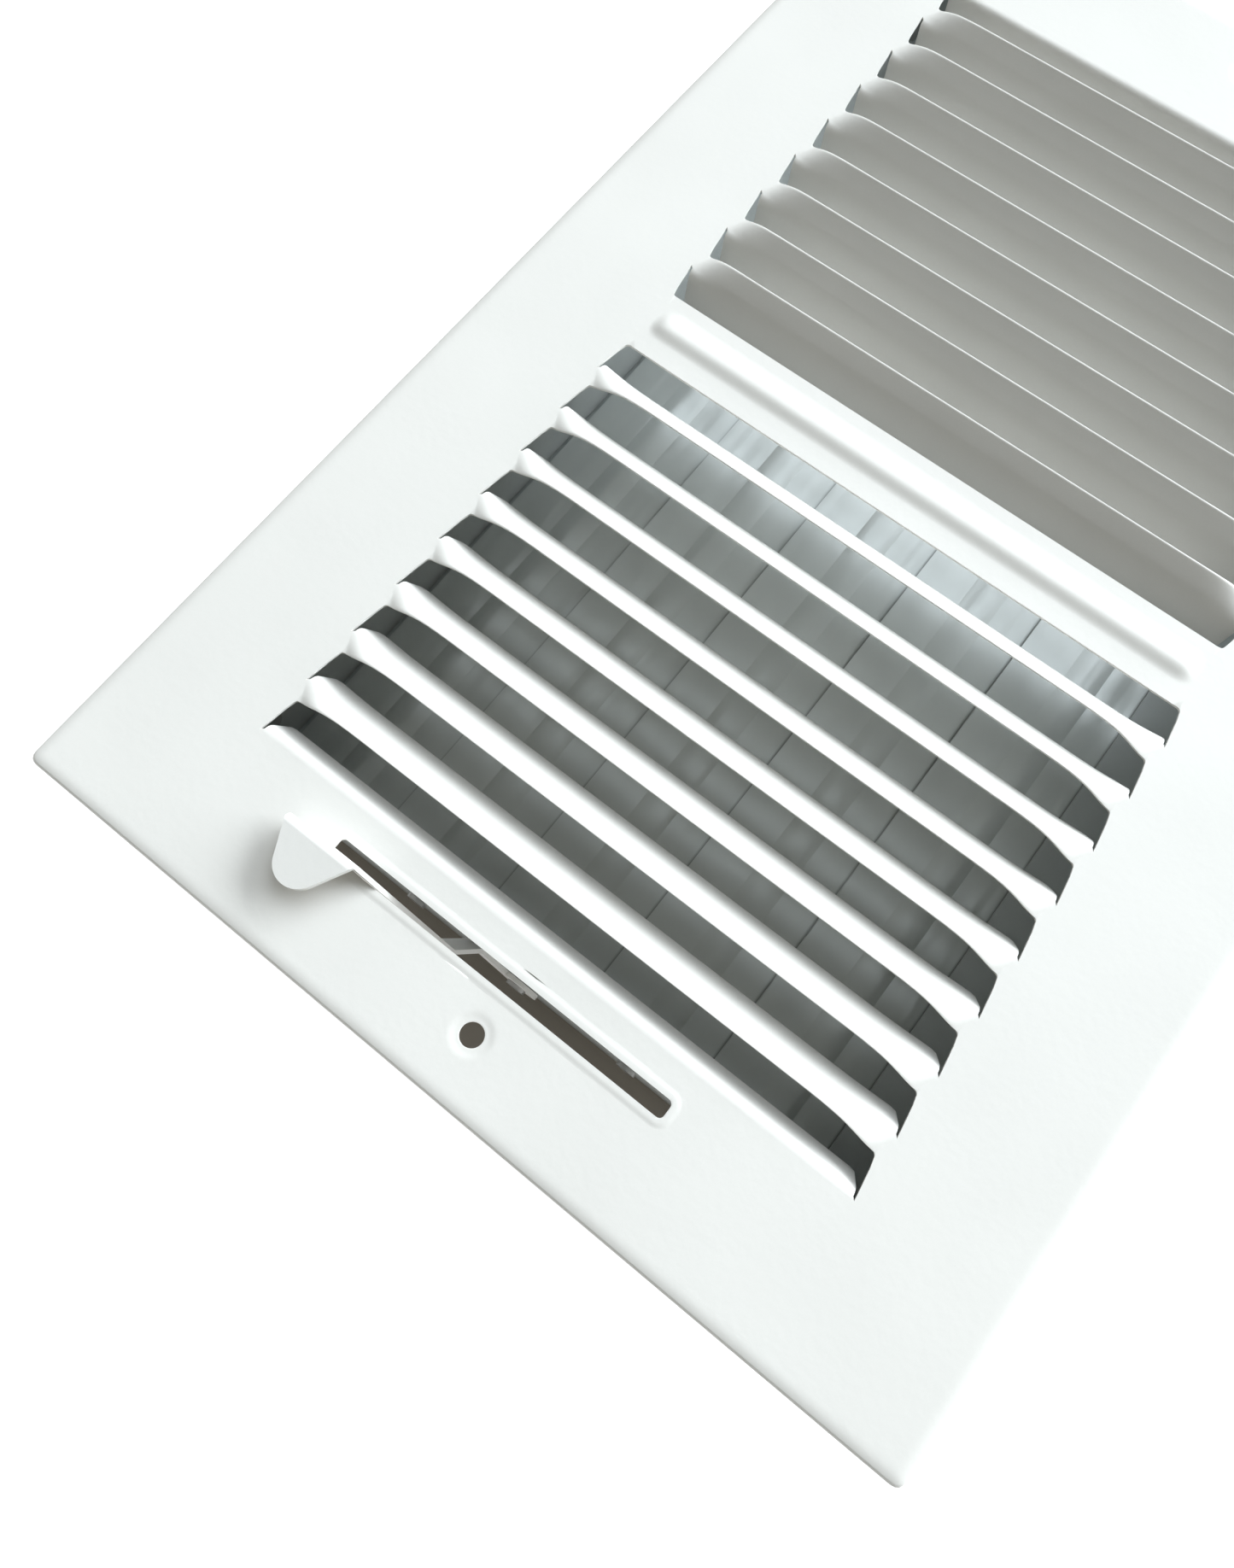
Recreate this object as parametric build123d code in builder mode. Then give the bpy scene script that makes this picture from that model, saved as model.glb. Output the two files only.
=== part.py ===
"""Sidewall register: a stamped louvred face with a five-blade damper and a finger lever behind it.

Frame: the origin is the centre of the face's flat front plane, +Z points out of the face into the
room, +Y runs along the long side away from the lever end, and +X runs along the short side.
All sizes are in millimetres. The damper is modelled closed.
"""

import os
from math import cos, radians, sin

from build123d import *

# Face plate
FACE_W = 197.0
FACE_L = 299.2
SHEET = 0.6
RIM_DEPTH = 5.5
RIM_RADIUS = 3.0
CORNER_RADIUS = 3.2

# Louvres: each opening is lanced along its slit edge and bent down along its hinge edge
LOUVRE_COUNT = 9
LOUVRE_PITCH = 12.75
OPENING_H = 8.65
OPENING_W = 136.0
OPENING_SLANT = 1.3
OPENING_RADIUS = 0.9
FIRST_HINGE = 31.1
NECK_W = LOUVRE_PITCH - OPENING_H
NECK_STUB = 2.4
NECK_RUN = 8.5
NECK_TILT = 34.0
FLAP_REACH = 5.3
FLAP_DROP = 7.2
FLAP_BELLY = 0.35
FLAP_ROOT = 0.4
LIP_REACH = 5.2
LIP_DROP = 6.3
LIP_ROOT = 0.5
LIP_BEND = (1.2, -0.35)
LIP_KNEE = (2.6, -1.5)
TRIM = 0.1
SLIVER = 0.01

# Raised bead on the centre strip
BEAD_W = 6.4
BEAD_H = 1.0
BEAD_L = 130.0

# Lever slot and screw holes
SLOT_W = 76.1
SLOT_H = 3.7
SLOT_X = -3.45
SLOT_INSET = 23.3
SLOT_RADIUS = 1.0
SCREW_INSET = 12.5
SCREW_RADIUS = 2.3

# Damper frame
FRAME_SHEET = 0.8
FRAME_INNER_W = 146.6
FRAME_INNER_L = 244.0
FRAME_BOTTOM = -44.0
RAIL_FLANGE = 9.0
END_FLANGE = 3.0
BOTTOM_LIP = 4.0
LIP_GAP = 0.2
CORNER_EAR_L = 11.0
CORNER_EAR_Z = (-40.5, -6.0)
RIVET_RADIUS = 1.6
RIVET_HEAD_RADIUS = 2.8
RIVET_HEAD = 0.9
RIVET_INSET = 6.5
RIVET_Z = (-12.0, -38.0)

# Damper blades
BLADE_COUNT = 5
BLADE_PITCH = 27.1
BLADE_W = 29.4
BLADE_L = 238.8
BLADE_SHEET = 0.5
BLADE_TILT = 2.3
BLADE_BEAD_W = 7.6
BLADE_BEAD_H = 0.6
AXIS_X = -3.35
AXIS_Z = -27.6
AXIS_TO_SHEET = 2.6
STOP_REACH = (5.2, 10.1)
STOP_TOP = (-25.3, -23.9)
STOP_LEG = 8.0

# Blade pivots
PIN_RADIUS = 1.5
PIN_CLEARANCE = 0.08
PIN_HEAD_RADIUS = 2.2
PIN_HEAD = 0.8
PIN_END_PLAY = 0.4
EAR_RADIUS = 3.6
EAR_ROOT_W = 11.0

# Cranks and tie bar
CRANK_RADIUS = 9.0
CRANK_ANGLE = 47.0
STUD_RADIUS = 1.2
STUD_CLEARANCE = 0.15
STUD_HEAD_RADIUS = 1.9
STUD_HEAD = 0.6
CRANK_TIP_RADIUS = 2.8
TIE_SHEET = 0.8
TIE_W = 5.6
TIE_GAP = 0.4
TIE_END_PLAY = 0.1
TIE_OVERRUN = 5.0

# Lever
LEVER_SHEET = 0.9
LEVER_GAP = 0.5
LEVER_ROOT_RADIUS = 4.6
LEVER_JOGGLE = (13.0, 18.0)
LEVER_ANGLE = 44.0
LEVER_OFFSET = 3.75
LEVER_FLANKS = ((-10.6, 13.2), (-2.5, 4.2), (-4.4, -1.5), (-37.7, 28.3))
TAB_LEFT = (-48.0, 31.4)
TAB_RIGHT = (-31.0, 33.4)
TAB_LENGTH = 9.9
TAB_TIP_RADIUS = 5.4
TAB_BEND = 1.8
TAB_STUB = 2.0

HALF_L = FACE_L / 2
WALL_IN = FRAME_INNER_L / 2
WALL_OUT = WALL_IN + FRAME_SHEET
RAIL_IN = FRAME_INNER_W / 2
RAIL_OUT = RAIL_IN + FRAME_SHEET
EAR_OUT = BLADE_L / 2
LEVER_BACK = -(WALL_OUT + LEVER_GAP)
NECK_END = OPENING_W / 2 - NECK_STUB
NECK_STATIONS = (
    (-NECK_END, 0),
    (NECK_RUN - NECK_END, NECK_TILT),
    (NECK_END - NECK_RUN, NECK_TILT),
    (NECK_END, 0),
)

os.makedirs("parts", exist_ok=True)


def finish(piece, name):
    """Label a finished piece and write it."""
    piece.part.label = name
    export_step(piece.part, f"parts/{name}.step")


def hinge_y(row):
    """Hinge line of one louvre opening in the lever-end panel."""
    return FIRST_HINGE - HALF_L + row * LOUVRE_PITCH


def crank_point():
    """Crank stud's place beside its blade's axis, damper closed."""
    angle = radians(CRANK_ANGLE)
    return (CRANK_RADIUS * sin(angle), -CRANK_RADIUS * cos(angle))


def end_plane(y, x=AXIS_X, tilt=0.0):
    """Plane across the damper: local x along X, local y along Z, normal towards -Y."""
    direction = (cos(radians(tilt)), 0, -sin(radians(tilt)))
    return Plane(origin=(x, y, AXIS_Z), x_dir=direction, z_dir=(0, -1, 0))


def blade_axis(index):
    """X of one blade's pivot axis, counting from the left rail."""
    return AXIS_X + (index - (BLADE_COUNT + 1) / 2) * BLADE_PITCH


def towards(sign):
    """Alignment that makes a shape start at its location and grow along the given sign."""
    return Align.MIN if sign > 0 else Align.MAX


def trapezoid(base, reach):
    """Sheet region from base to reach along y, its ends slanting inwards over the reach."""
    half = OPENING_W / 2
    narrow = half - OPENING_SLANT
    return Polygon(
        (-half, base),
        (-half, 0),
        (-narrow, reach),
        (narrow, reach),
        (half, 0),
        (half, base),
        align=None,
    )


# ---------------------------------------------------------------- louvres of one panel

with BuildPart() as flap:
    # Fin flap: a shallow arc that hangs from the hinge line
    with BuildSketch(Plane.YZ.offset(-OPENING_W / 2)):
        with BuildLine():
            ThreePointArc(
                (-FLAP_ROOT, 0.0),
                (FLAP_REACH / 2 + FLAP_BELLY, -FLAP_DROP / 2 + FLAP_BELLY),
                (FLAP_REACH, -FLAP_DROP),
            )
            offset(amount=SHEET, side=Side.RIGHT, closed=True)
        make_face()
    extrude(amount=OPENING_W)
    with BuildSketch():
        trapezoid(-1, FLAP_REACH + TRIM)
    extrude(amount=-2 * FLAP_DROP, mode=Mode.INTERSECT)

with BuildPart() as lip:
    # Margin lip: leaves the margin level, then turns down
    with BuildSketch(Plane.YZ.offset(-OPENING_W / 2)):
        with BuildLine():
            bend = ThreePointArc((-LIP_ROOT, 0.0), LIP_BEND, LIP_KNEE)
            Line(bend @ 1, (LIP_REACH, -LIP_DROP))
            offset(amount=SHEET, side=Side.RIGHT, closed=True)
        make_face()
    extrude(amount=OPENING_W)
    with BuildSketch():
        trapezoid(-1, LIP_REACH + TRIM)
    extrude(amount=-2 * LIP_DROP, mode=Mode.INTERSECT)

with BuildPart() as panel:
    with Locations((0, hinge_y(0), 0)):
        add(lip.part)
    for row in range(1, LOUVRE_COUNT):
        # Fin neck: flat at both ends, tilted up between them
        for x, tilt in NECK_STATIONS:
            with BuildSketch(Plane.YZ.offset(x)):
                with Locations((hinge_y(row), 0)):
                    Rectangle(
                        NECK_W,
                        SHEET,
                        rotation=-tilt,
                        align=(Align.MAX, Align.MAX),
                    )
        loft(ruled=True)
        with Locations((0, hinge_y(row), 0)):
            add(flap.part)

# ---------------------------------------------------------------- face plate

with BuildSketch() as opening:
    trapezoid(-SLIVER, OPENING_H)
    fillet(opening.vertices().group_by(Axis.Y)[-1], OPENING_RADIUS)

with BuildPart() as face_plate:
    with BuildSketch():
        RectangleRounded(FACE_W, FACE_L, CORNER_RADIUS)
    extrude(amount=-RIM_DEPTH)
    fillet(face_plate.faces().sort_by(Axis.Z)[-1].edges(), RIM_RADIUS)
    offset(amount=-SHEET, openings=face_plate.faces().sort_by(Axis.Z)[0])

    # Louvre openings, and the gaps that the tilted necks leave in the sheet
    with BuildSketch() as openings:
        for row in range(LOUVRE_COUNT):
            with Locations((0, hinge_y(row))):
                add(opening.sketch)
        with Locations((0, hinge_y(0) + OPENING_H - 1)):
            Rectangle(
                OPENING_W - 2 * NECK_STUB,
                (LOUVRE_COUNT - 1) * LOUVRE_PITCH - OPENING_H + 1,
                align=(Align.CENTER, Align.MIN),
            )
        mirror(about=Plane.XZ)
    extrude(amount=-SHEET, mode=Mode.SUBTRACT)
    add(panel.part)
    add(mirror(panel.part, about=Plane.XZ, mode=Mode.PRIVATE))

    # Raised bead along the centre strip, hollow behind
    for level, mode in ((0, Mode.ADD), (-SHEET, Mode.SUBTRACT)):
        with BuildSketch(Plane.YZ.offset(-BEAD_L / 2)):
            with BuildLine():
                crown = ThreePointArc((-BEAD_W / 2, level), (0, level + BEAD_H), (BEAD_W / 2, level))
                Line(crown @ 1, crown @ 0)
            make_face()
        extrude(amount=BEAD_L, mode=mode)

    # Lever slot and the two screw holes
    with BuildSketch():
        with Locations((SLOT_X, SLOT_INSET - HALF_L)):
            RectangleRounded(SLOT_W, SLOT_H, SLOT_RADIUS)
        with GridLocations(0, FACE_L - 2 * SCREW_INSET, 1, 2):
            Circle(SCREW_RADIUS)
    extrude(amount=-SHEET, mode=Mode.SUBTRACT)
finish(face_plate, "face_plate")

# ---------------------------------------------------------------- damper frame

for side, name in ((-1, "side_rail_left"), (1, "side_rail_right")):
    wall = side * (RAIL_IN + FRAME_SHEET / 2)
    with BuildPart() as rail:
        with BuildSketch(Plane.XZ.offset(WALL_IN)):
            with Locations((wall, -SHEET)):
                Rectangle(FRAME_SHEET, -FRAME_BOTTOM - SHEET, align=(Align.CENTER, Align.MAX))
            with Locations((side * RAIL_IN, -SHEET)):
                Rectangle(RAIL_FLANGE, FRAME_SHEET, align=(towards(side), Align.MAX))
            with Locations((side * RAIL_OUT, FRAME_BOTTOM)):
                Rectangle(BOTTOM_LIP, FRAME_SHEET, align=(towards(-side), Align.MIN))
        extrude(amount=-FRAME_INNER_L)
        with BuildSketch(Plane.YZ.offset(side * RAIL_IN)):
            for z in RIVET_Z:
                with Locations((0, z)):
                    with GridLocations(2 * (WALL_IN - RIVET_INSET), 0, 2, 1):
                        Circle(RIVET_RADIUS)
        extrude(amount=side * FRAME_SHEET, mode=Mode.SUBTRACT)
    finish(rail, name)

for end, name in ((-1, "end_bracket_front"), (1, "end_bracket_rear")):
    with BuildPart() as bracket:
        with BuildSketch(Plane.XZ.offset(-end * WALL_OUT)):
            with Locations((0, -SHEET)):
                Rectangle(
                    2 * (RAIL_OUT + FRAME_SHEET),
                    -FRAME_BOTTOM - SHEET,
                    align=(Align.CENTER, Align.MAX),
                )
            for index in range(1, BLADE_COUNT + 1):
                with Locations((blade_axis(index), AXIS_Z)):
                    Circle(PIN_RADIUS + PIN_CLEARANCE, mode=Mode.SUBTRACT)
        extrude(amount=end * FRAME_SHEET)

        # Flange under the face, and a stiffening lip at the bottom between the rails' lips
        for level, width, half_length in (
            (-SHEET - FRAME_SHEET, END_FLANGE, RAIL_IN),
            (FRAME_BOTTOM, BOTTOM_LIP, RAIL_OUT - BOTTOM_LIP - LIP_GAP),
        ):
            with BuildSketch(Plane.XY.offset(level)):
                with Locations((0, end * WALL_OUT)):
                    Rectangle(2 * half_length, width, align=(Align.CENTER, towards(-end)))
            extrude(amount=FRAME_SHEET)

        # Corner ears outside the side rails, riveted to them
        for side in (-1, 1):
            with BuildSketch(Plane.YZ.offset(side * (RAIL_OUT + FRAME_SHEET / 2) - FRAME_SHEET / 2)):
                with Locations((end * WALL_OUT, CORNER_EAR_Z[0])):
                    Rectangle(
                        CORNER_EAR_L,
                        CORNER_EAR_Z[1] - CORNER_EAR_Z[0],
                        align=(towards(-end), Align.MIN),
                    )
                for z in RIVET_Z:
                    with Locations((end * (WALL_IN - RIVET_INSET), z)):
                        Circle(RIVET_RADIUS, mode=Mode.SUBTRACT)
            extrude(amount=FRAME_SHEET)
    finish(bracket, name)

# Stop angles on the side rails: blade 1 closes down on the left one, blade 5 up on the right one
for side, name, reach, top in (
    (-1, "stop_angle_left", STOP_REACH[0], STOP_TOP[0]),
    (1, "stop_angle_right", STOP_REACH[1], STOP_TOP[1]),
):
    with BuildPart() as stop:
        with BuildSketch(Plane.XZ.offset(EAR_OUT)):
            with Locations((side * RAIL_IN, top)):
                Rectangle(reach, FRAME_SHEET, align=(towards(-side), Align.MAX))
                Rectangle(FRAME_SHEET, STOP_LEG, align=(towards(-side), Align.MAX))
        extrude(amount=-BLADE_L)
    finish(stop, name)

# Rivets through the corner ears
with BuildPart() as frame_rivets:
    for side in (-1, 1):
        shank_end = side * (RAIL_OUT + FRAME_SHEET)
        for end in (-1, 1):
            for z in RIVET_Z:
                place = (end * (WALL_IN - RIVET_INSET), z)
                for start, length, radius in (
                    (side * RAIL_IN, 2 * FRAME_SHEET, RIVET_RADIUS),
                    (side * (RAIL_IN - RIVET_HEAD), RIVET_HEAD, RIVET_HEAD_RADIUS),
                    (shank_end, RIVET_HEAD, RIVET_HEAD_RADIUS),
                ):
                    with BuildSketch(Plane.YZ.offset(start)):
                        with Locations(place):
                            Circle(radius)
                    extrude(amount=side * length)
finish(frame_rivets, "frame_rivets")

# ---------------------------------------------------------------- damper blades

for index in range(1, BLADE_COUNT + 1):
    axis_x = blade_axis(index)
    is_driver = index == (BLADE_COUNT + 1) // 2

    with BuildPart() as blade:
        # Sheet with a shallow bead over its axis
        with BuildSketch(end_plane(-EAR_OUT, axis_x, BLADE_TILT)):
            for level, mode in (
                (AXIS_TO_SHEET + BLADE_SHEET / 2, Mode.ADD),
                (AXIS_TO_SHEET - BLADE_SHEET / 2, Mode.SUBTRACT),
            ):
                with BuildLine():
                    crown = ThreePointArc(
                        (-BLADE_BEAD_W / 2, level),
                        (0, level + BLADE_BEAD_H),
                        (BLADE_BEAD_W / 2, level),
                    )
                    Polyline(
                        crown @ 1,
                        (BLADE_W / 2, level),
                        (BLADE_W / 2, level - BLADE_SHEET),
                        (-BLADE_W / 2, level - BLADE_SHEET),
                        (-BLADE_W / 2, level),
                        crown @ 0,
                    )
                make_face(mode=mode)
        extrude(amount=-BLADE_L)

        # Ears turned down at both ends: a plain one at the rear, a crank at the front
        crank = crank_point()
        for end, reach in ((-1, crank), (1, (0, 0))):
            with BuildSketch(end_plane(end * EAR_OUT, axis_x)):
                Circle(EAR_RADIUS)
                with Locations(reach):
                    Circle(CRANK_TIP_RADIUS)
                with Locations((0, AXIS_TO_SHEET)):
                    Rectangle(EAR_ROOT_W, BLADE_SHEET)
                make_hull()
                Circle(PIN_RADIUS, mode=Mode.SUBTRACT)
                if end == -1:
                    with Locations(reach):
                        Circle(STUD_RADIUS, mode=Mode.SUBTRACT)
            extrude(amount=end * BLADE_SHEET)
    finish(blade, f"blade_{index}")

    # Pivot pins, headed inside the ears and outside the frame
    with BuildPart() as pins:
        for end in (-1, 1):
            neck = WALL_OUT + PIN_END_PLAY
            if is_driver and end == -1:
                neck = -LEVER_BACK + LEVER_SHEET
            for start, stop_at, radius in (
                (EAR_OUT - BLADE_SHEET - PIN_HEAD, EAR_OUT - BLADE_SHEET, PIN_HEAD_RADIUS),
                (EAR_OUT - BLADE_SHEET, neck, PIN_RADIUS),
                (neck, neck + PIN_HEAD, PIN_HEAD_RADIUS),
            ):
                with BuildSketch(end_plane(end * start, axis_x)):
                    Circle(radius)
                extrude(amount=-end * (stop_at - start))
    finish(pins, f"blade_{index}_pins")

    # Crank stud, headed inside the ear and in front of the tie bar
    with BuildPart() as stud:
        tie_front = EAR_OUT + TIE_GAP + TIE_SHEET + TIE_END_PLAY
        for start, stop_at, radius in (
            (EAR_OUT - BLADE_SHEET - STUD_HEAD, EAR_OUT - BLADE_SHEET, STUD_HEAD_RADIUS),
            (EAR_OUT - BLADE_SHEET, tie_front, STUD_RADIUS),
            (tie_front, tie_front + STUD_HEAD, STUD_HEAD_RADIUS),
        ):
            with BuildSketch(end_plane(-start, axis_x)):
                with Locations(crank_point()):
                    Circle(radius)
            extrude(amount=stop_at - start)
    finish(stud, f"crank_stud_{index}")

# ---------------------------------------------------------------- tie bar and lever

with BuildPart() as tie_bar:
    span = (BLADE_COUNT - 1) * BLADE_PITCH
    with BuildSketch(end_plane(-EAR_OUT - TIE_GAP)):
        with Locations(crank_point()):
            SlotCenterToCenter(span + TIE_OVERRUN, TIE_W)
            with GridLocations(BLADE_PITCH, 0, BLADE_COUNT, 1):
                Circle(STUD_RADIUS + STUD_CLEARANCE, mode=Mode.SUBTRACT)
    extrude(amount=TIE_SHEET)
finish(tie_bar, "tie_bar")

fold_left = Vector(AXIS_X + TAB_LEFT[0], LEVER_BACK - LEVER_OFFSET, AXIS_Z + TAB_LEFT[1])
fold_right = Vector(AXIS_X + TAB_RIGHT[0], LEVER_BACK - LEVER_OFFSET, AXIS_Z + TAB_RIGHT[1])
fold_line = fold_right - fold_left
fold_dir = fold_line.normalized()
tab_up = fold_dir.cross(Vector(0, 1, 0))
tab_down = (-tab_up.X * TAB_BEND, -tab_up.Z * TAB_BEND)
lean = radians(LEVER_ANGLE)

with BuildPart() as tab:
    # Cross-section of the fold: a short stub of the arm, the bend, and the finger tab
    with BuildSketch(Plane(origin=fold_left, x_dir=(0, -1, 0), z_dir=fold_dir)) as section:
        Rectangle(TAB_LENGTH + LEVER_SHEET, LEVER_SHEET, align=(Align.MIN, Align.MIN))
        Rectangle(LEVER_SHEET, TAB_STUB, align=(Align.MIN, Align.MIN))
        fillet(section.vertices().sort_by_distance(fold_left)[0], TAB_BEND)
        corner = fold_left + Vector(0, -LEVER_SHEET, 0) - tab_up * LEVER_SHEET
        fillet(section.vertices().sort_by_distance(corner)[0], TAB_BEND - LEVER_SHEET)
    extrude(amount=fold_line.length)

    # Plan of the tab: straight flanks drawn in to a round tip
    with BuildSketch(Plane(origin=fold_left, x_dir=fold_dir, z_dir=tab_up)):
        Rectangle(fold_line.length, LEVER_SHEET, align=(Align.MIN, Align.MAX))
        with Locations((fold_line.length / 2, TAB_TIP_RADIUS - TAB_LENGTH - LEVER_SHEET)):
            Circle(TAB_TIP_RADIUS)
        make_hull()
    extrude(amount=-2 * TAB_BEND, mode=Mode.INTERSECT)

with BuildPart() as lever_arm:
    # Sheet profile along the arm: root against the pin's shoulder, joggled out to the arm
    with BuildSketch(
        Plane(
            origin=(AXIS_X, 0, AXIS_Z),
            x_dir=(-sin(lean), 0, cos(lean)),
            z_dir=(cos(lean), 0, sin(lean)),
        )
    ):
        with BuildLine():
            Polyline(
                (-2 * LEVER_ROOT_RADIUS, -LEVER_BACK),
                (LEVER_JOGGLE[0], -LEVER_BACK),
                (LEVER_JOGGLE[1], LEVER_OFFSET - LEVER_BACK),
                (2 * TAB_RIGHT[1], LEVER_OFFSET - LEVER_BACK),
            )
            offset(amount=LEVER_SHEET, side=Side.LEFT, closed=True)
        make_face()
    extrude(amount=TAB_RIGHT[1], both=True)

    # Side outline: round root, widening upwards, with a shoulder over the slot's end
    with BuildSketch(end_plane(0)):
        Circle(LEVER_ROOT_RADIUS)
        Polygon(
            (TAB_LEFT[0] + tab_down[0], TAB_LEFT[1] + tab_down[1]),
            (TAB_RIGHT[0] + tab_down[0], TAB_RIGHT[1] + tab_down[1]),
            *LEVER_FLANKS,
            align=None,
        )
        Circle(PIN_RADIUS, mode=Mode.SUBTRACT)
    extrude(amount=HALF_L, mode=Mode.INTERSECT)
    add(tab.part)
finish(lever_arm, "lever_arm")
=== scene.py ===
"""Looks of the sidewall register: stamped enamelled face, damper, lever, light and camera.

Everything is in metres, in the CAD's frame: +Z out of the face, +Y away from the lever end.
"""

import math

import bmesh
import bpy
from mathutils import Matrix, Vector, geometry


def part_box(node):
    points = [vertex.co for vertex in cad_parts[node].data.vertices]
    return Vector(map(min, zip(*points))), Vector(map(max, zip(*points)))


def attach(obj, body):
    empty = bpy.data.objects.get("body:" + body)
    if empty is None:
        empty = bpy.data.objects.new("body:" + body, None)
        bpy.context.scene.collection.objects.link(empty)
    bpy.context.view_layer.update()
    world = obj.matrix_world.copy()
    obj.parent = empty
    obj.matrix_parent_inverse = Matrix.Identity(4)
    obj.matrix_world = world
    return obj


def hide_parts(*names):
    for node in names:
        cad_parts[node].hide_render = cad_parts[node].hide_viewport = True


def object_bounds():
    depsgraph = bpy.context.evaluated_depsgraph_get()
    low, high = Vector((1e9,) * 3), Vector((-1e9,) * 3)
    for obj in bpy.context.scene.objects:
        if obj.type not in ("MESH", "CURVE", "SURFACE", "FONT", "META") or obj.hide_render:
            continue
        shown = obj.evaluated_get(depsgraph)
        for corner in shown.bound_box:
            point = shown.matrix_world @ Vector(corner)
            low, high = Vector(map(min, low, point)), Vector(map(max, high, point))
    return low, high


MM = 0.001

# Face plate; lengths in millimetres, angles in degrees
SHEET = 0.6
RIM_W = 3.0
RIM_DROOP_W = 2.4
RIM_DROOP = 15.0
RIM_CORNER_POWER = 3.5
RIM_DEPTH = 5.5
SKIRT_DEPTHS = (3.0, 5.0, RIM_DEPTH)
LOUVRE_COUNT = 9
PITCH = 12.75
OPENING_H = 8.65
OPENING_HALF_W = 68.0
OPENING_SLANT = 1.3
OPENING_RADIUS = 0.9
FIRST_HINGE = 31.1
NECK_W = PITCH - OPENING_H
NECK_SLOPE = 39.0
NECK_SHIFT = 0.05
NECK_RUN = 4.9
NECK_ROOT_RUN = 4.0
RISE_POWER = 1.4
EDGE_BOW = 0.02
ROLL_W = 0.65
ROLL_DROP = 0.28
LIP_SLOPE = 64.0
LIP_BEND_SHARE = 0.36
FLAP_SLOPES = (46.0, 68.0)
KERF = 0.5
KERF_RUN = 0.6
BEAD_NEAR_W = 3.5
BEAD_FAR_W = 5.2
BEAD_HALF_L = 65.8
BEAD_H = 0.75
SLOT_CENTRE = (-3.45, 23.3)
SLOT_HALF = (38.05, 1.85)
SLOT_RADIUS = 1.0
SLOT_PLATEAU = 0.12
SCREW_INSET = 12.5
SCREW_RADIUS = 2.3
SCREW_DISH = 0.15
EDGE_SOFTNESS = 0.22
HINGES = [FIRST_HINGE + row * PITCH for row in range(LOUVRE_COUNT)]

# Sheet round the slot and the screw holes: offsets from the edge, and shares of its height
SLOT_RINGS = (
    (0.0, 0.4, 0.8, 1.1, 1.4, 1.7, 2.0),
    (1.0, 1.0, 1.0, 0.86, 0.5, 0.14, 0.0),
)
SCREW_RINGS = (
    (0.0, 0.35, 0.75, 1.15, 1.55, 1.95, 2.4),
    (1.0, 0.97, 0.86, 0.6, 0.26, 0.06, 0.0),
)

# How finely the face plate is meshed; lengths in millimetres, angles in degrees
FLAP_PARTS = 14
FLAP_ROWS = [i / FLAP_PARTS for i in range(FLAP_PARTS + 1)]
NECK_ROWS = (0.0, 0.04, 0.08, 0.12, 0.16, 0.25, 0.4, 0.7, 1.0)
SIDE_PARTS = 5
CORNER_PARTS = 8
SLIT_CORNER_PARTS = 4
CORNER_STARTS = {(1, -1): -90, (1, 1): 0, (-1, 1): 90, (-1, -1): 180}
BEAD_STATIONS = {"first": 0.4, "growth": 1.3, "longest": 9.0}
BEAD_NEAR_PARTS = 8
BEAD_FAR_PARTS = 10
DROOP_PARTS = 5
LONG_SIDE = 20.0
LONG_SIDE_PARTS = 24
GRID_STEP = 6.0
GRID_CLEARANCE = 1.6
WELDS_PER_MM = 200
FLAT_TOLERANCE = 1e-5
CORNER_TOLERANCE = 1e-6
BEVEL_ANGLE = 55
BEVEL_PARTS = 3
SHARP_ANGLE = 50

# Damper blades, and the ranges in X and Y of the floor's patches of painted shade, in millimetres
BLADE_EDGE_X = 9.06
BLADE_PITCH = 27.1
SHADE_PATCHES = (((-66.0, 66.0), (-116.0, 116.0)), ((-60.0, 44.0), (-143.0, -116.0)))
SHADE_PATCH_FADE = 4.0

# Random grey above which one of the enamel's cells has a dust nib; names of zinc-plated nodes
NIB_THRESHOLD = 0.82
ZINC_PLATED = ("_pins", "crank_stud", "frame_rivets", "tie_bar")

# Floor, light and camera, in metres, watts and linear colour; the lens in millimetres
FLOOR_SIZE = 6
FLOOR_GLOW = 0.87
# Colour of the painted shade on the floor under the face plate
PAINTED_SHADE_COLOUR = (0.31, 0.28, 0.245)
ROOM_COLOUR = (0.16, 0.156, 0.132)
SKY_COLOUR = (2.75, 3.0, 3.18)
SKY_TOWARDS = (0.02, 0.6, 0.8)
SKY_POWER = 9.0
WINDOW_PLACE = (4.4, 6.7, 3.12)
WINDOW_TARGET = (0, 0, 3.12)
WINDOW_SIZE = (8.96, 4.96)
WINDOW_POWER = 1600
WINDOW_COLOUR = (0.9, 0.965, 1.0)
CAMERA_PLACE = (0.03172, -0.13647, 0.20865)
CAMERA_BACK = (0.18350, -0.23337, 0.95492)
CAMERA_UP = (-0.58985, 0.75097, 0.29687)
CAMERA_SENSOR = 36.0
CAMERA_LENS = 27.01
CAMERA_NEAR = 0.01


# ------------------------------------------------------------------ shader helpers


def new_material(name):
    """Empty node material with a Principled shader on its output."""
    material = bpy.data.materials.new(name)
    material.use_nodes = True
    return material, material.node_tree, material.node_tree.nodes["Principled BSDF"]


def add_node(tree, kind, links=(), **values):
    """Adds a node, sets its properties and sockets by name, and links the given inputs."""
    node = tree.nodes.new(kind)
    for key, value in values.items():
        if hasattr(node, key):
            setattr(node, key, value)
        else:
            node.inputs[key.replace("_", " ")].default_value = value
    for socket, source in links:
        tree.links.new(source, node.inputs[socket])
    return node


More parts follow.
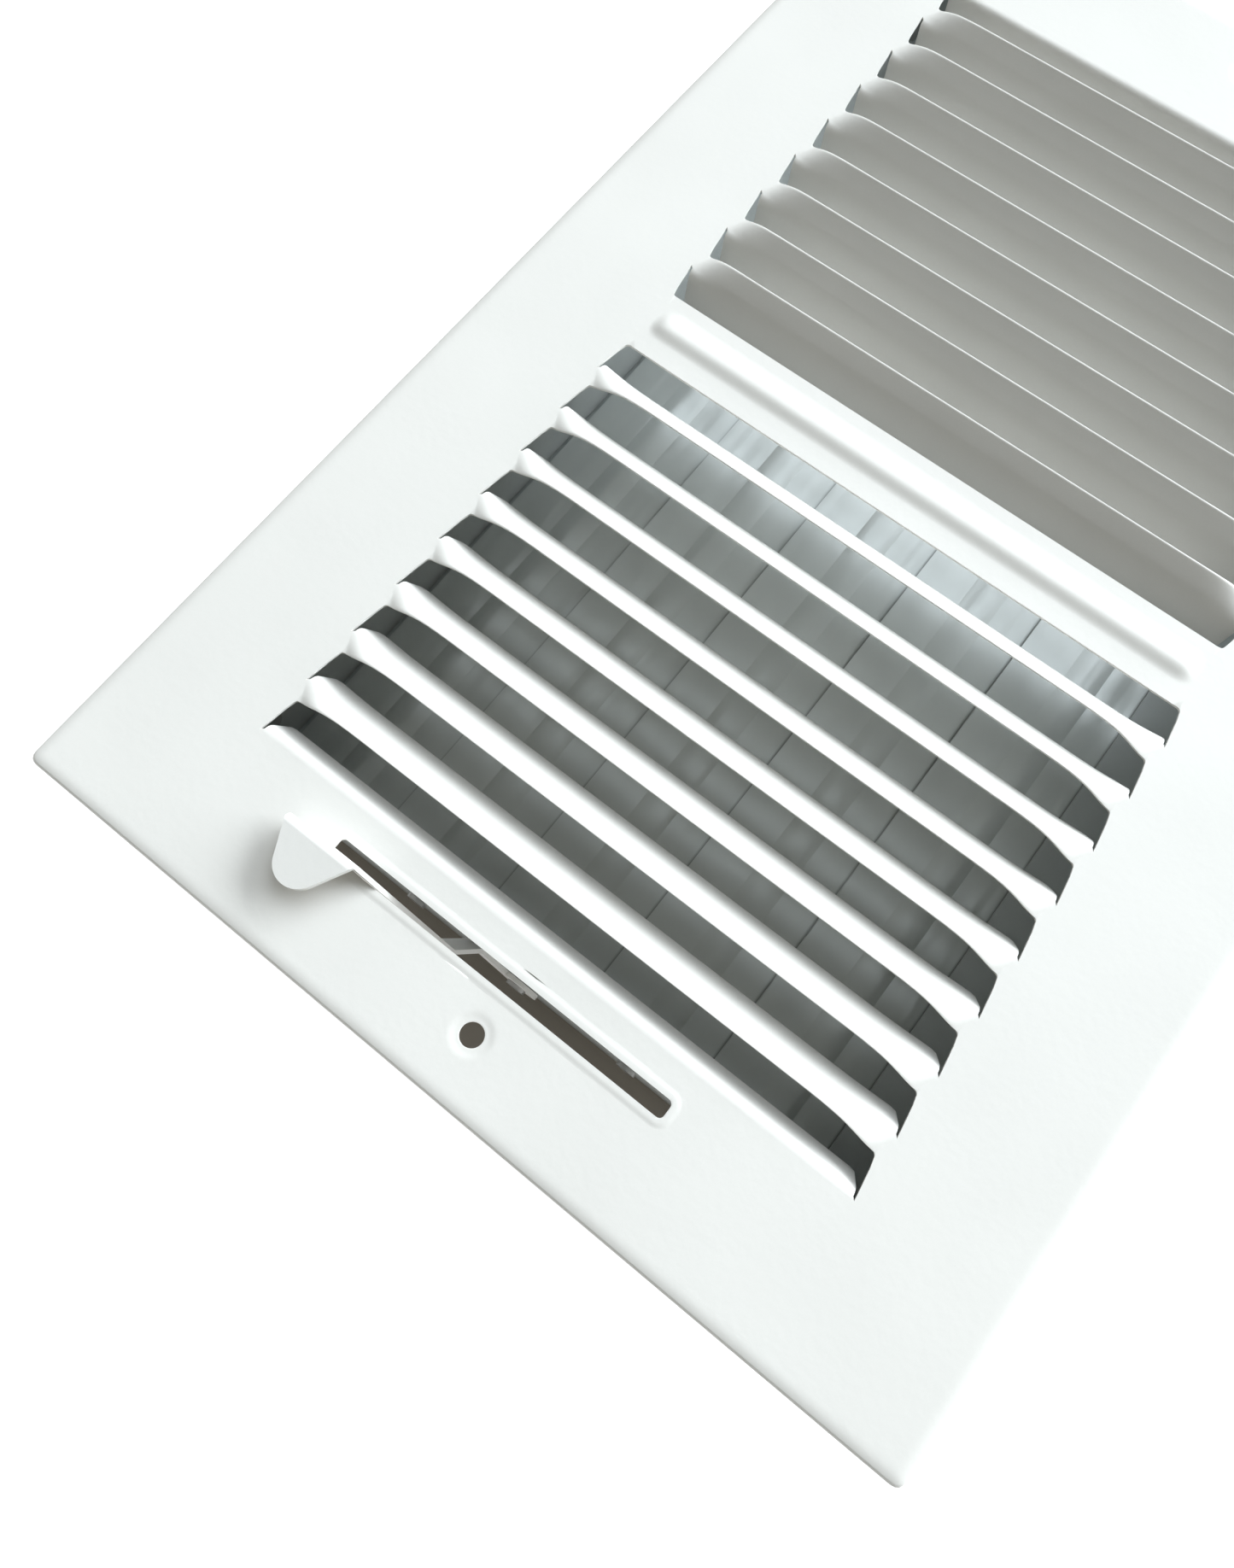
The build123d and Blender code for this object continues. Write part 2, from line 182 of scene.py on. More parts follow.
def noise(tree, coords, scale, detail=2.0, roughness=0.5):
    """Noise texture in object space; scale is features per metre."""
    return add_node(
        tree,
        "ShaderNodeTexNoise",
        [("Vector", coords)],
        Scale=scale,
        Detail=detail,
        Roughness=roughness,
    )


def ramp(tree, source, stops):
    """Colour ramp from (position, grey or colour) pairs."""
    node = add_node(tree, "ShaderNodeValToRGB", [("Fac", source)])
    elements = node.color_ramp.elements
    while len(elements) < len(stops):
        elements.new(0.5)
    for element, (position, value) in zip(elements, stops):
        element.position = position
        element.color = (value,) * 3 + (1,) if isinstance(value, float) else (*value, 1)
    return node


def mix_colour(tree, factor, a, b, blend="MIX"):
    """Mixes two colours; each may be a colour or a socket."""
    node = tree.nodes.new("ShaderNodeMix")
    node.data_type = "RGBA"
    node.blend_type = blend
    sockets = (node.inputs["Factor"], node.inputs[6], node.inputs[7])
    for socket, value in zip(sockets, (factor, a, b)):
        if isinstance(value, bpy.types.NodeSocket):
            tree.links.new(value, socket)
        elif isinstance(value, float):
            socket.default_value = value
        else:
            socket.default_value = (*value, 1)
    return node.outputs[2]


def bump(tree, height, strength, distance, normal=None):
    """Bump node; distance is in metres."""
    links = [("Height", height)]
    if normal:
        links.append(("Normal", normal))
    return add_node(
        tree, "ShaderNodeBump", links, Strength=strength, Distance=distance
    ).outputs["Normal"]


# ------------------------------------------------------------------ materials


def enamel(name, colour, rough, peel=0.35, mottling=0.02):
    """Baked white enamel: orange peel, faint mottling, dust nibs under the film."""
    material, tree, shader = new_material(name)
    coords = add_node(tree, "ShaderNodeTexCoord").outputs["Object"]

    # Film thickness: slow drift in tone, and fine grain
    drift = noise(tree, coords, 22.0, 3.0).outputs["Fac"]
    grain = noise(tree, coords, 2600.0, 2.0, 0.7).outputs["Fac"]
    thin = tuple(c * (1 - 2.4 * mottling) for c in colour)
    tone = ramp(tree, drift, [(0.3, thin), (0.7, colour)]).outputs["Color"]
    fine = ramp(tree, grain, [(0.25, 1 - mottling), (0.75, 1.0)]).outputs["Color"]
    base = mix_colour(tree, 1.0, tone, fine, "MULTIPLY")

    # Dust nibs: sparse tiny specks, some darker, all slightly proud
    cells = add_node(tree, "ShaderNodeTexVoronoi", [("Vector", coords)], Scale=95.0)
    lonely = add_node(
        tree,
        "ShaderNodeMath",
        [(0, cells.outputs["Color"])],
        operation="GREATER_THAN",
    )
    lonely.inputs[1].default_value = NIB_THRESHOLD
    dot = ramp(tree, cells.outputs["Distance"], [(0.0, 1.0), (0.035, 0.0)]).outputs["Color"]
    speck = add_node(
        tree,
        "ShaderNodeMath",
        [(0, dot), (1, lonely.outputs[0])],
        operation="MULTIPLY",
    ).outputs[0]
    dirt = tuple(c * 0.72 for c in colour)
    base = mix_colour(tree, speck, base, dirt)
    tree.links.new(base, shader.inputs["Base Color"])

    # Orange peel in the film over slight hammering of the sheet
    peel_height = noise(tree, coords, 620.0, 1.5, 0.45).outputs["Fac"]
    wave_height = noise(tree, coords, 34.0, 1.0, 0.4).outputs["Fac"]
    normal = bump(tree, wave_height, 0.35, 0.00035)
    normal = bump(tree, peel_height, peel, 0.00006, normal)
    normal = bump(tree, speck, 0.6, 0.00008, normal)
    tree.links.new(normal, shader.inputs["Normal"])

    sheen = noise(tree, coords, 240.0, 3.0, 0.6).outputs["Fac"]
    gloss = add_node(
        tree,
        "ShaderNodeMapRange",
        [("Value", sheen)],
        To_Min=rough - 0.05,
        To_Max=rough + 0.05,
    )
    tree.links.new(gloss.outputs["Result"], shader.inputs["Roughness"])
    shader.inputs["IOR"].default_value = 1.5
    return material


def blade_finish(name, colour):
    """Thin semi-gloss paint on zinc-coated sheet, with painted shade along the seam where the next
    blade overlaps.
    """
    material, tree, shader = new_material(name)
    coords = add_node(tree, "ShaderNodeTexCoord").outputs["Object"]
    drift = noise(tree, coords, 18.0, 3.0, 0.6).outputs["Fac"]
    thin = tuple(c * 0.88 for c in colour)
    base = ramp(tree, drift, [(0.3, thin), (0.7, colour)]).outputs["Color"]

    # Position across one blade, from 0 at its left edge to 1 at the next blade's left edge
    across = add_node(tree, "ShaderNodeSeparateXYZ", [("Vector", coords)]).outputs["X"]
    shifted = add_node(tree, "ShaderNodeMath", [(0, across)], operation="SUBTRACT")
    shifted.inputs[1].default_value = BLADE_EDGE_X * MM
    turns = add_node(tree, "ShaderNodeMath", [(0, shifted.outputs[0])], operation="DIVIDE")
    turns.inputs[1].default_value = BLADE_PITCH * MM
    part = add_node(tree, "ShaderNodeMath", [(0, turns.outputs[0])], operation="FRACT")
    # Painted shade: a thin dark line just before the next blade's edge, standing in for the shadow
    # that edge casts
    seam_shade = ramp(
        tree,
        part.outputs[0],
        [(0.0, 0.0), (0.976, 0.0), (0.988, 0.5), (0.994, 1.0), (1.0, 1.0)],
    ).outputs["Color"]
    base = mix_colour(tree, seam_shade, base, tuple(c * 0.45 for c in colour))
    tree.links.new(base, shader.inputs["Base Color"])

    # The sheet ripples across its bead, so streaks of light run along the blade
    rolled = add_node(tree, "ShaderNodeMapping", [("Vector", coords)])
    rolled.inputs["Scale"].default_value = (1.0, 0.15, 1.0)
    ripple = noise(tree, rolled.outputs["Vector"], 120.0, 2.0, 0.5).outputs["Fac"]
    grain = noise(tree, coords, 900.0, 2.0, 0.5).outputs["Fac"]
    normal = bump(tree, ripple, 1.0, 0.001)
    normal = bump(tree, grain, 0.15, 0.00004, normal)
    tree.links.new(normal, shader.inputs["Normal"])
    shader.inputs["Metallic"].default_value = 0.24
    shader.inputs["Roughness"].default_value = 0.28
    return material


def zinc_steel(name, colour, rough):
    """Zinc-plated steel: rolling lines, soft spangle and dull patches."""
    material, tree, shader = new_material(name)
    coords = add_node(tree, "ShaderNodeTexCoord").outputs["Object"]
    stretch = add_node(tree, "ShaderNodeMapping", [("Vector", coords)])
    stretch.inputs["Scale"].default_value = (0.08, 1.0, 1.0)
    lines = noise(tree, stretch.outputs["Vector"], 2600.0, 4.0, 0.7).outputs["Fac"]
    spangle = add_node(tree, "ShaderNodeTexVoronoi", [("Vector", coords)], Scale=420.0)
    dull = noise(tree, coords, 90.0, 4.0, 0.65).outputs["Fac"]
    dark = tuple(c * 0.78 for c in colour)
    base = ramp(tree, spangle.outputs["Color"], [(0.1, dark), (0.9, colour)]).outputs["Color"]
    patina = ramp(tree, dull, [(0.42, 1.0), (0.72, 0.74)]).outputs["Color"]
    base = mix_colour(tree, 1.0, base, patina, "MULTIPLY")
    tree.links.new(base, shader.inputs["Base Color"])
    gloss = add_node(
        tree,
        "ShaderNodeMapRange",
        [("Value", dull)],
        To_Min=rough - 0.08,
        To_Max=rough + 0.12,
    )
    tree.links.new(gloss.outputs["Result"], shader.inputs["Roughness"])
    tree.links.new(bump(tree, lines, 0.4, 0.00003), shader.inputs["Normal"])
    shader.inputs["Metallic"].default_value = 0.95
    return material


def floor_material():
    """White self-lit table top, with soft patches of painted shade, dark and unlit, under the
    damper frame and under the lever slot.
    """
    material, tree, shader = new_material("table")
    coords = add_node(tree, "ShaderNodeTexCoord").outputs["Object"]
    tone = noise(tree, coords, 6.0, 3.0).outputs["Fac"]
    pale = ramp(tree, tone, [(0.3, 0.5), (0.7, 0.53)]).outputs["Color"]

    # How far outside the nearest patch of painted shade a point lies, from the largest distance
    # past one of its sides
    axes = add_node(tree, "ShaderNodeSeparateXYZ", [("Vector", coords)])
    gaps = []
    for shade_x, shade_y in SHADE_PATCHES:
        past = []
        for axis, (low, high) in (("X", shade_x), ("Y", shade_y)):
            off = add_node(tree, "ShaderNodeMath", [(0, axes.outputs[axis])], operation="SUBTRACT")
            off.inputs[1].default_value = (low + high) / 2 * MM
            size = add_node(tree, "ShaderNodeMath", [(0, off.outputs[0])], operation="ABSOLUTE")
            gap = add_node(tree, "ShaderNodeMath", [(0, size.outputs[0])], operation="SUBTRACT")
            gap.inputs[1].default_value = (high - low) / 2 * MM
            past.append(gap.outputs[0])
        worst = add_node(tree, "ShaderNodeMath", enumerate(past), operation="MAXIMUM")
        gaps.append(worst.outputs[0])
    far = add_node(tree, "ShaderNodeMath", enumerate(gaps), operation="MINIMUM")
    lit = add_node(
        tree,
        "ShaderNodeMapRange",
        [("Value", far.outputs[0])],
        From_Min=0.0,
        From_Max=SHADE_PATCH_FADE * MM,
    )
    # Painted shade: inside the patches the floor is dark and gives no glow, standing in for the
    # shade under the face plate seen through the slot and screw hole
    base = mix_colour(tree, lit.outputs["Result"], PAINTED_SHADE_COLOUR, pale)
    glow = mix_colour(tree, lit.outputs["Result"], (0.0, 0.0, 0.0), (1.0, 1.0, 1.0))
    tree.links.new(base, shader.inputs["Base Color"])
    tree.links.new(glow, shader.inputs["Emission Color"])
    shader.inputs["Emission Strength"].default_value = FLOOR_GLOW
    shader.inputs["Roughness"].default_value = 0.8
    return material


# ------------------------------------------------------------------ pressed face plate


def ease(t):
    """Smooth step from 0 to 1."""
    t = min(max(t, 0.0), 1.0)
    return t * t * (3 - 2 * t)


def end_stations(half, first=0.35, growth=1.22, longest=7.0):
    """Distances along a louvre from one end to its middle, close together at the end."""
    stations, step = [0.0], first
    while stations[-1] + step < half:
        stations.append(stations[-1] + step)
        step = min(step * growth, longest)
    stations.append(half)
    return stations


class Sheet:
    """Mesh of the sheet's front surface, welded by position, in millimetres."""

    def __init__(self):
        self.bm = bmesh.new()
        self.seen = {}

    def vert(self, p):
        """The vertex at a point, made once."""
        key = tuple(round(c * WELDS_PER_MM) for c in p)
        if key not in self.seen:
            self.seen[key] = self.bm.verts.new([c * MM for c in p])
        return self.seen[key]

    def face(self, points):
        """A face through the points, unless it has collapsed or is there already."""
        verts = []
        for p in points:
            v = self.vert(p)
            if v not in verts:
                verts.append(v)
        if len(verts) > 2 and not self.bm.faces.get(verts):
            self.bm.faces.new(verts)

    def grid(self, rows, flip=False):
        """Quads between neighbouring rows of points."""
        for low, high in zip(rows, rows[1:]):
            for i in range(len(low) - 1):
                quad = [low[i], low[i + 1], high[i + 1], high[i]]
                self.face(quad[::-1] if flip else quad)


def along(side, width, t):
    """X at distance t from the louvre's end, for a louvre of the given half width."""
    return side * (width - t * width / OPENING_HALF_W)


def louvre_stations():
    """Stations across a louvre as (side, distance from that end), left to right."""
    left = end_stations(OPENING_HALF_W)
    return [(-1, t) for t in left] + [(1, t) for t in reversed(left[:-1])]


def bow(f):
    """Tiny outward bow of a straight border, so that no three points on it are in line."""
    return 4 * EDGE_BOW * f * (1 - f)


def neck_half_width(r):
    """Half width of a neck's border, from its slit side (r = 0) to its hinge side (r = 1)."""
    slit = OPENING_HALF_W - OPENING_SLANT - OPENING_RADIUS
    return slit + (OPENING_HALF_W - slit) * r + bow(r)


def rise(t, run):
    """Share of its full slope that a neck has at distance t from its end."""
    return 1 - math.exp(-((t / run) ** RISE_POWER))


def neck_point(hinge, r, side, t):
    """Point of a fin's neck: level at the ends, sloping up to its slit edge between them.

    Near the ends the root is already steep, and the slit edge bends back to stay low.
    """
    up, root = rise(t, NECK_RUN), rise(t, NECK_ROOT_RUN)
    reach = (1 - r) * NECK_W
    slope = math.radians(NECK_SLOPE * (root + (up - root) * (1 - r)))
    x = along(side, neck_half_width(r), t)
    y = hinge + NECK_SHIFT * root - reach * math.cos(slope)
    over = max(0.0, reach - NECK_W + ROLL_W)
    return (x, y, reach * math.sin(slope) - ROLL_DROP * up * (over / ROLL_W) ** 2)


def neck_rows(hinge):
    """Rows of points across a fin's neck, from its slit side to its hinge side."""
    stations = louvre_stations()
    return [[neck_point(hinge, r, side, t) for side, t in stations] for r in NECK_ROWS]


def flap_rows(hinge, fin):
    """Rows of points down a flap; a margin lip starts level, a fin starts at its neck's slope.

    A narrow kerf parts the flap's ends from the sides of its opening.
    """
    stations = louvre_stations()
    rows = [[] for _ in FLAP_ROWS]
    for side, t in stations:
        up = rise(t, NECK_ROOT_RUN) if fin else 0.0
        y, z = hinge + NECK_SHIFT * up, 0.0
        for i, s in enumerate(FLAP_ROWS):
            if i:
                mid = (s + FLAP_ROWS[i - 1]) / 2
                lip = LIP_SLOPE * ease(mid / LIP_BEND_SHARE)
                fin_slope = FLAP_SLOPES[0] + (FLAP_SLOPES[1] - FLAP_SLOPES[0]) * mid
                slope = math.radians(lip + (fin_slope - lip) * up)
                step = OPENING_H * (s - FLAP_ROWS[i - 1])
                y += step * math.cos(slope)
                z -= step * math.sin(slope)
            width = OPENING_HALF_W - OPENING_SLANT * s
            over = max(0.0, s * OPENING_H - (OPENING_H - OPENING_RADIUS))
            width -= OPENING_RADIUS - math.sqrt(max(0.0, OPENING_RADIUS**2 - over**2))
            width -= KERF * min(1.0, s * OPENING_H / KERF_RUN)
            rows[i].append((along(side, width, t), y, z))
    return rows


def window_side(side):
    """Edge of a louvre panel's window on one side, from the first hinge to the last slit."""
    slit_x = OPENING_HALF_W - OPENING_SLANT
    share = OPENING_RADIUS / OPENING_H
    points = []
    for hinge in HINGES:
        slit = hinge + OPENING_H
        points.append((side * OPENING_HALF_W, hinge))
        for k in range(1, SIDE_PARTS):
            f = k / SIDE_PARTS * (1 - share)
            half = OPENING_HALF_W - OPENING_SLANT * f + bow(k / SIDE_PARTS)
            points.append((side * half, hinge + OPENING_H * f))
        for k in range(SLIT_CORNER_PARTS + 1):
            a = math.radians(90 * k / SLIT_CORNER_PARTS)
            x = slit_x - OPENING_RADIUS * (1 - math.cos(a))
            points.append((side * x, slit - OPENING_RADIUS * (1 - math.sin(a))))
        if hinge < HINGES[-1]:
            for r in NECK_ROWS[1:-1]:
                points.append((side * neck_half_width(r), slit + NECK_W * r))
    return points


def window_loop(mirror):
    """Closed outline of a louvre window in the flat of the sheet."""
    left, right = window_side(-1), window_side(1)
    stations = louvre_stations()
    hinge_line = [(along(s, OPENING_HALF_W, t), FIRST_HINGE) for s, t in stations[1:-1]]
    slit_half, slit_y = neck_half_width(0), left[-1][1]
    slit_line = [(along(s, slit_half, t), slit_y) for s, t in stations[1:-1]]
    loop = left + slit_line + right[::-1] + hinge_line[::-1]
    half_l = face_half[1]
    return [(x, (y - half_l) * mirror) for x, y in loop]


def corner_angles(sx, sy):
    """Angles through which the corner on the given sides turns, counter-clockwise."""
    start = CORNER_STARTS[(sx, sy)]
    return [math.radians(start + 90 * k / CORNER_PARTS) for k in range(CORNER_PARTS + 1)]


def rounded_loop(centre, half, radius):
    """Outline of a rounded rectangle, counter-clockwise, with points on its corners only."""
    points = []
    for sx, sy in CORNER_STARTS:
        cx = centre[0] + sx * (half[0] - radius)
        cy = centre[1] + sy * (half[1] - radius)
        for a in corner_angles(sx, sy):
            x, y = cx + radius * math.cos(a), cy + radius * math.sin(a)
            points.append((round(x, 4), round(y, 4)))
    return points


def divide(a, b, parts):
    """Points that divide the way from a to b evenly, a among them but not b."""
    (ax, ay), (bx, by) = a, b
    return [(ax + (bx - ax) * k / parts, ay + (by - ay) * k / parts) for k in range(parts)]


def divide_sides(loop):
    """Divides the long straight sides of an outline evenly."""
    full = []
    for a, b in zip(loop, loop[1:] + loop[:1]):
        full += divide(a, b, LONG_SIDE_PARTS if math.dist(a, b) > LONG_SIDE else 1)
    return full


def close(row):
    """A ring of points, repeated at its end so that a grid closes on itself."""
    return row + row[:1]


def ring_patch(sheet, centre, half, radius, rings, height):
    """Rings of sheet round an opening; returns the outermost ring's outline."""
    rows = []
    for offset, share in zip(*rings):
        grown = (half[0] + offset, half[1] + offset)
        loop = divide_sides(rounded_loop(centre, grown, radius + offset))
        rows.append([(x, y, share * height) for x, y in loop])
    for inner, outer in zip(rows, rows[1:]):
        sheet.grid([close(inner), close(outer)], flip=True)
    return [(x, y) for x, y, _ in rows[-1]]


def bead_patch(sheet):
    """Raised bead along the centre strip; returns its outline in the flat."""
    xs = end_stations(BEAD_HALF_L, **BEAD_STATIONS)
    stations = [-BEAD_HALF_L + t for t in xs] + [BEAD_HALF_L - t for t in reversed(xs[:-1])]
    ys = [BEAD_NEAR_W * (k / BEAD_NEAR_PARTS - 1) for k in range(BEAD_NEAR_PARTS)]
    ys += [BEAD_FAR_W * k / BEAD_FAR_PARTS for k in range(BEAD_FAR_PARTS + 1)]
    rows = []
    for y in ys:
        row = []
        for x in stations:
            end = (BEAD_HALF_L - abs(x)) / BEAD_NEAR_W
            across = -y / BEAD_NEAR_W if y < 0 else y / BEAD_FAR_W
            radial = math.hypot(across, max(0.0, 1 - end))
            height = BEAD_H * 0.5 * (1 + math.cos(math.pi * min(radial, 1.0)))
            row.append((x, y, height))
        rows.append(row)
    sheet.grid(rows)
    low, high = rows[0], rows[-1]
    left = [row[0] for row in rows]
    right = [row[-1] for row in rows]
    loop = low + right[1:] + high[-2::-1] + left[-2:0:-1]
    return [(x, y) for x, y, _ in loop]


def inside(point, loop):
    """Whether a point lies inside a closed outline."""
    x, y = point
    hit = False
    for (ax, ay), (bx, by) in zip(loop, loop[1:] + loop[:1]):
        if (ay > y) != (by > y) and x < (bx - ax) * (y - ay) / (by - ay) + ax:
            hit = not hit
    return hit


def in_flat(point, outer, holes):
    """Whether a point lies in the level part of the sheet."""
    return inside(point, outer) and not any(inside(point, hole) for hole in holes)


def clear_of(point, loops, gap):
    """Whether a point keeps at least gap from every outline's corners."""
    return all(math.dist(point, p) > gap for loop in loops for p in loop)


def flat_region(sheet, outer, holes):
    """Fills the level part of the sheet between its outer outline and the holes."""
    points, edges = [], []
    for loop in [outer, *holes]:
        start = len(points)
        points += loop
        edges += [(start + i, start + (i + 1) % len(loop)) for i in range(len(loop))]
    nx, ny = int(face_half[0] // GRID_STEP), int(face_half[1] // GRID_STEP)
    for i in range(-nx, nx + 1):
        for j in range(-ny, ny + 1):
            p = (i * GRID_STEP, j * GRID_STEP)
            if in_flat(p, outer, holes) and clear_of(p, [outer, *holes], GRID_CLEARANCE):
                points.append(p)
    places = [Vector(p) for p in points]
    solved = geometry.delaunay_2d_cdt(places, edges, [], 0, FLAT_TOLERANCE)
    verts, faces = solved[0], solved[2]
    for face in faces:
        tri = [tuple(verts[i]) for i in face]
        centre = (sum(p[0] for p in tri) / 3, sum(p[1] for p in tri) / 3)
        if in_flat(centre, outer, holes):
            sheet.face([(x, y, 0.0) for x, y in tri])


def rim_section():
    """Reach and drop of the rim's section, from the flat to the foot of its fold."""
    tilt = math.radians(RIM_DROOP)
    droop = RIM_DROOP_W * math.tan(tilt) / 3
    points = [
        (RIM_DROOP_W * k / DROOP_PARTS, droop * (k / DROOP_PARTS) ** 3)
        for k in range(DROOP_PARTS + 1)
    ]
    fold = (RIM_W - RIM_DROOP_W) / (1 - math.sin(tilt))
    for k in range(1, CORNER_PARTS + 1):
        a = tilt + (math.pi / 2 - tilt) * k / CORNER_PARTS
        reach = RIM_DROOP_W + fold * (math.sin(a) - math.sin(tilt))
        points.append((reach, droop + fold * (math.cos(tilt) - math.cos(a))))
    return points


def rim(sheet, outline):
    """Rolled rim: a slow droop, a tight fold, then a straight skirt."""
    hx, hy = face_half[0] - RIM_W, face_half[1] - RIM_W
    stations = []
    for x, y in outline:
        on_x, on_y = abs(abs(x) - hx) < CORNER_TOLERANCE, abs(abs(y) - hy) < CORNER_TOLERANCE
        sx, sy = math.copysign(1, x), math.copysign(1, y)
        if on_x and on_y:
            # The corner fans from one side's outward direction to the next one's
            for a in corner_angles(sx, sy):
                nx, ny = math.cos(a), math.sin(a)
                total = abs(nx) ** RIM_CORNER_POWER + abs(ny) ** RIM_CORNER_POWER
                square = total ** (-1 / RIM_CORNER_POWER)
                stations.append((x, y, nx * square, ny * square))
        else:
            stations.append((x, y, sx * on_x, sy * on_y))
    rows = [
        [(x + nx * out, y + ny * out, -down) for x, y, nx, ny in stations]
        for out, down in rim_section()
    ]
    foot = rows[-1]
    for depth in SKIRT_DEPTHS:
        rows.append([(x, y, -depth) for x, y, _ in foot])
    for upper, lower in zip(rows, rows[1:]):
        sheet.grid([close(upper), close(lower)], flip=True)


def face_outline():
    """Where the flat of the face turns into the rim, counter-clockwise."""
    hx, hy = face_half[0] - RIM_W, face_half[1] - RIM_W
    corners = [(-hx, -hy), (hx, -hy), (hx, hy), (-hx, hy)]
    points = []
    for a, b in zip(corners, corners[1:] + corners[:1]):
        points += divide(a, b, round(math.dist(a, b) / GRID_STEP))
    return points


def face_plate_mesh():
    """The whole pressed sheet as one surface; the far panel mirrors the lever end's panel."""
    sheet = Sheet()
    half_l = face_half[1]
    holes = []
    for mirror in (1, -1):
        for row, hinge in enumerate(HINGES):
            patches = [flap_rows(hinge, fin=row > 0)]
            if row:
                patches.append(neck_rows(hinge))
            for patch in patches:
                placed = [[(x, (y - half_l) * mirror, z) for x, y, z in r] for r in patch]
                sheet.grid(placed, flip=mirror < 0)
        holes.append(window_loop(mirror))
    holes.append(bead_patch(sheet))
    slot_centre = (SLOT_CENTRE[0], SLOT_CENTRE[1] - half_l)
    holes.append(
        ring_patch(sheet, slot_centre, SLOT_HALF, SLOT_RADIUS, SLOT_RINGS, SLOT_PLATEAU)
    )
    screw_half = (SCREW_RADIUS, SCREW_RADIUS)
    for end in (-1, 1):
        centre = (0, end * (half_l - SCREW_INSET))
        holes.append(
            ring_patch(sheet, centre, screw_half, SCREW_RADIUS, SCREW_RINGS, -SCREW_DISH)
        )
    outline = face_outline()
    flat_region(sheet, outline, holes)
    rim(sheet, outline)
    return sheet.bm


def solid_sheet(name, bm, thickness, edge):
    """Turns a surface into sheet metal of real thickness with softened edges."""
    mesh = bpy.data.meshes.new(name)
    bm.normal_update()
    bm.to_mesh(mesh)
    piece = bpy.data.objects.new(name, mesh)
    bpy.context.collection.objects.link(piece)
    thick = piece.modifiers.new("gauge", "SOLIDIFY")
    thick.thickness = thickness * MM
    thick.offset = -1
    thick.use_even_offset = True
    thick.use_quality_normals = True
    soft = piece.modifiers.new("edge", "BEVEL")
    soft.width = edge * MM
    soft.segments = BEVEL_PARTS
    soft.limit_method = "ANGLE"
    soft.angle_limit = math.radians(BEVEL_ANGLE)
    graph = bpy.context.evaluated_depsgraph_get()
    solid = bpy.data.meshes.new_from_object(piece.evaluated_get(graph))
    piece.modifiers.clear()
    piece.data = solid
    solid.name = name
    solid.shade_smooth()
    solid.set_sharp_from_angle(angle=math.radians(SHARP_ANGLE))
    keep = piece.modifiers.new("flatness", "WEIGHTED_NORMAL")
    keep.keep_sharp = True
    return piece


def dress(piece, material):
    """Gives a piece one material over all of it."""
    piece.data.materials.clear()
    piece.data.materials.append(material)


# ------------------------------------------------------------------ stage, light and camera


def add_floor():
    """Plain pale table top under the damper frame."""
    bottom = cad_box[0].z
    bpy.ops.mesh.primitive_plane_add(size=FLOOR_SIZE, location=(0, 0, bottom))
    floor = bpy.context.object
    floor.name = "table"
    dress(floor, floor_material())


def add_window():
    """Wide low window beyond the far end."""
    light = bpy.data.lights.new("window", "AREA")
    light.shape = "RECTANGLE"
    light.size, light.size_y = WINDOW_SIZE
    light.energy = WINDOW_POWER
    light.color = WINDOW_COLOUR
    box = bpy.data.objects.new("window", light)
    box.location = WINDOW_PLACE
    aim = Vector(WINDOW_TARGET) - Vector(WINDOW_PLACE)
    box.rotation_euler = aim.to_track_quat("-Z", "Y").to_euler()
    bpy.context.collection.objects.link(box)


def add_room():
    """Dim warm room with a bright cool patch high over the far end."""
    world = bpy.data.worlds.new("room")
    world.use_nodes = True
    tree = world.node_tree
    background = tree.nodes["Background"]
    ray = add_node(tree, "ShaderNodeTexCoord").outputs["Generated"]
    towards = add_node(tree, "ShaderNodeVectorMath", [(0, ray)], operation="DOT_PRODUCT")
    towards.inputs[1].default_value = Vector(SKY_TOWARDS).normalized()
    share = add_node(tree, "ShaderNodeMath", [(0, towards.outputs["Value"])], operation="MAXIMUM")
    share.inputs[1].default_value = 0.0
    peak = add_node(tree, "ShaderNodeMath", [(0, share.outputs[0])], operation="POWER")
    peak.inputs[1].default_value = SKY_POWER
    colour = mix_colour(tree, peak.outputs[0], ROOM_COLOUR, SKY_COLOUR)
    tree.links.new(colour, background.inputs["Color"])
    background.inputs["Strength"].default_value = 1.0
    bpy.context.scene.world = world


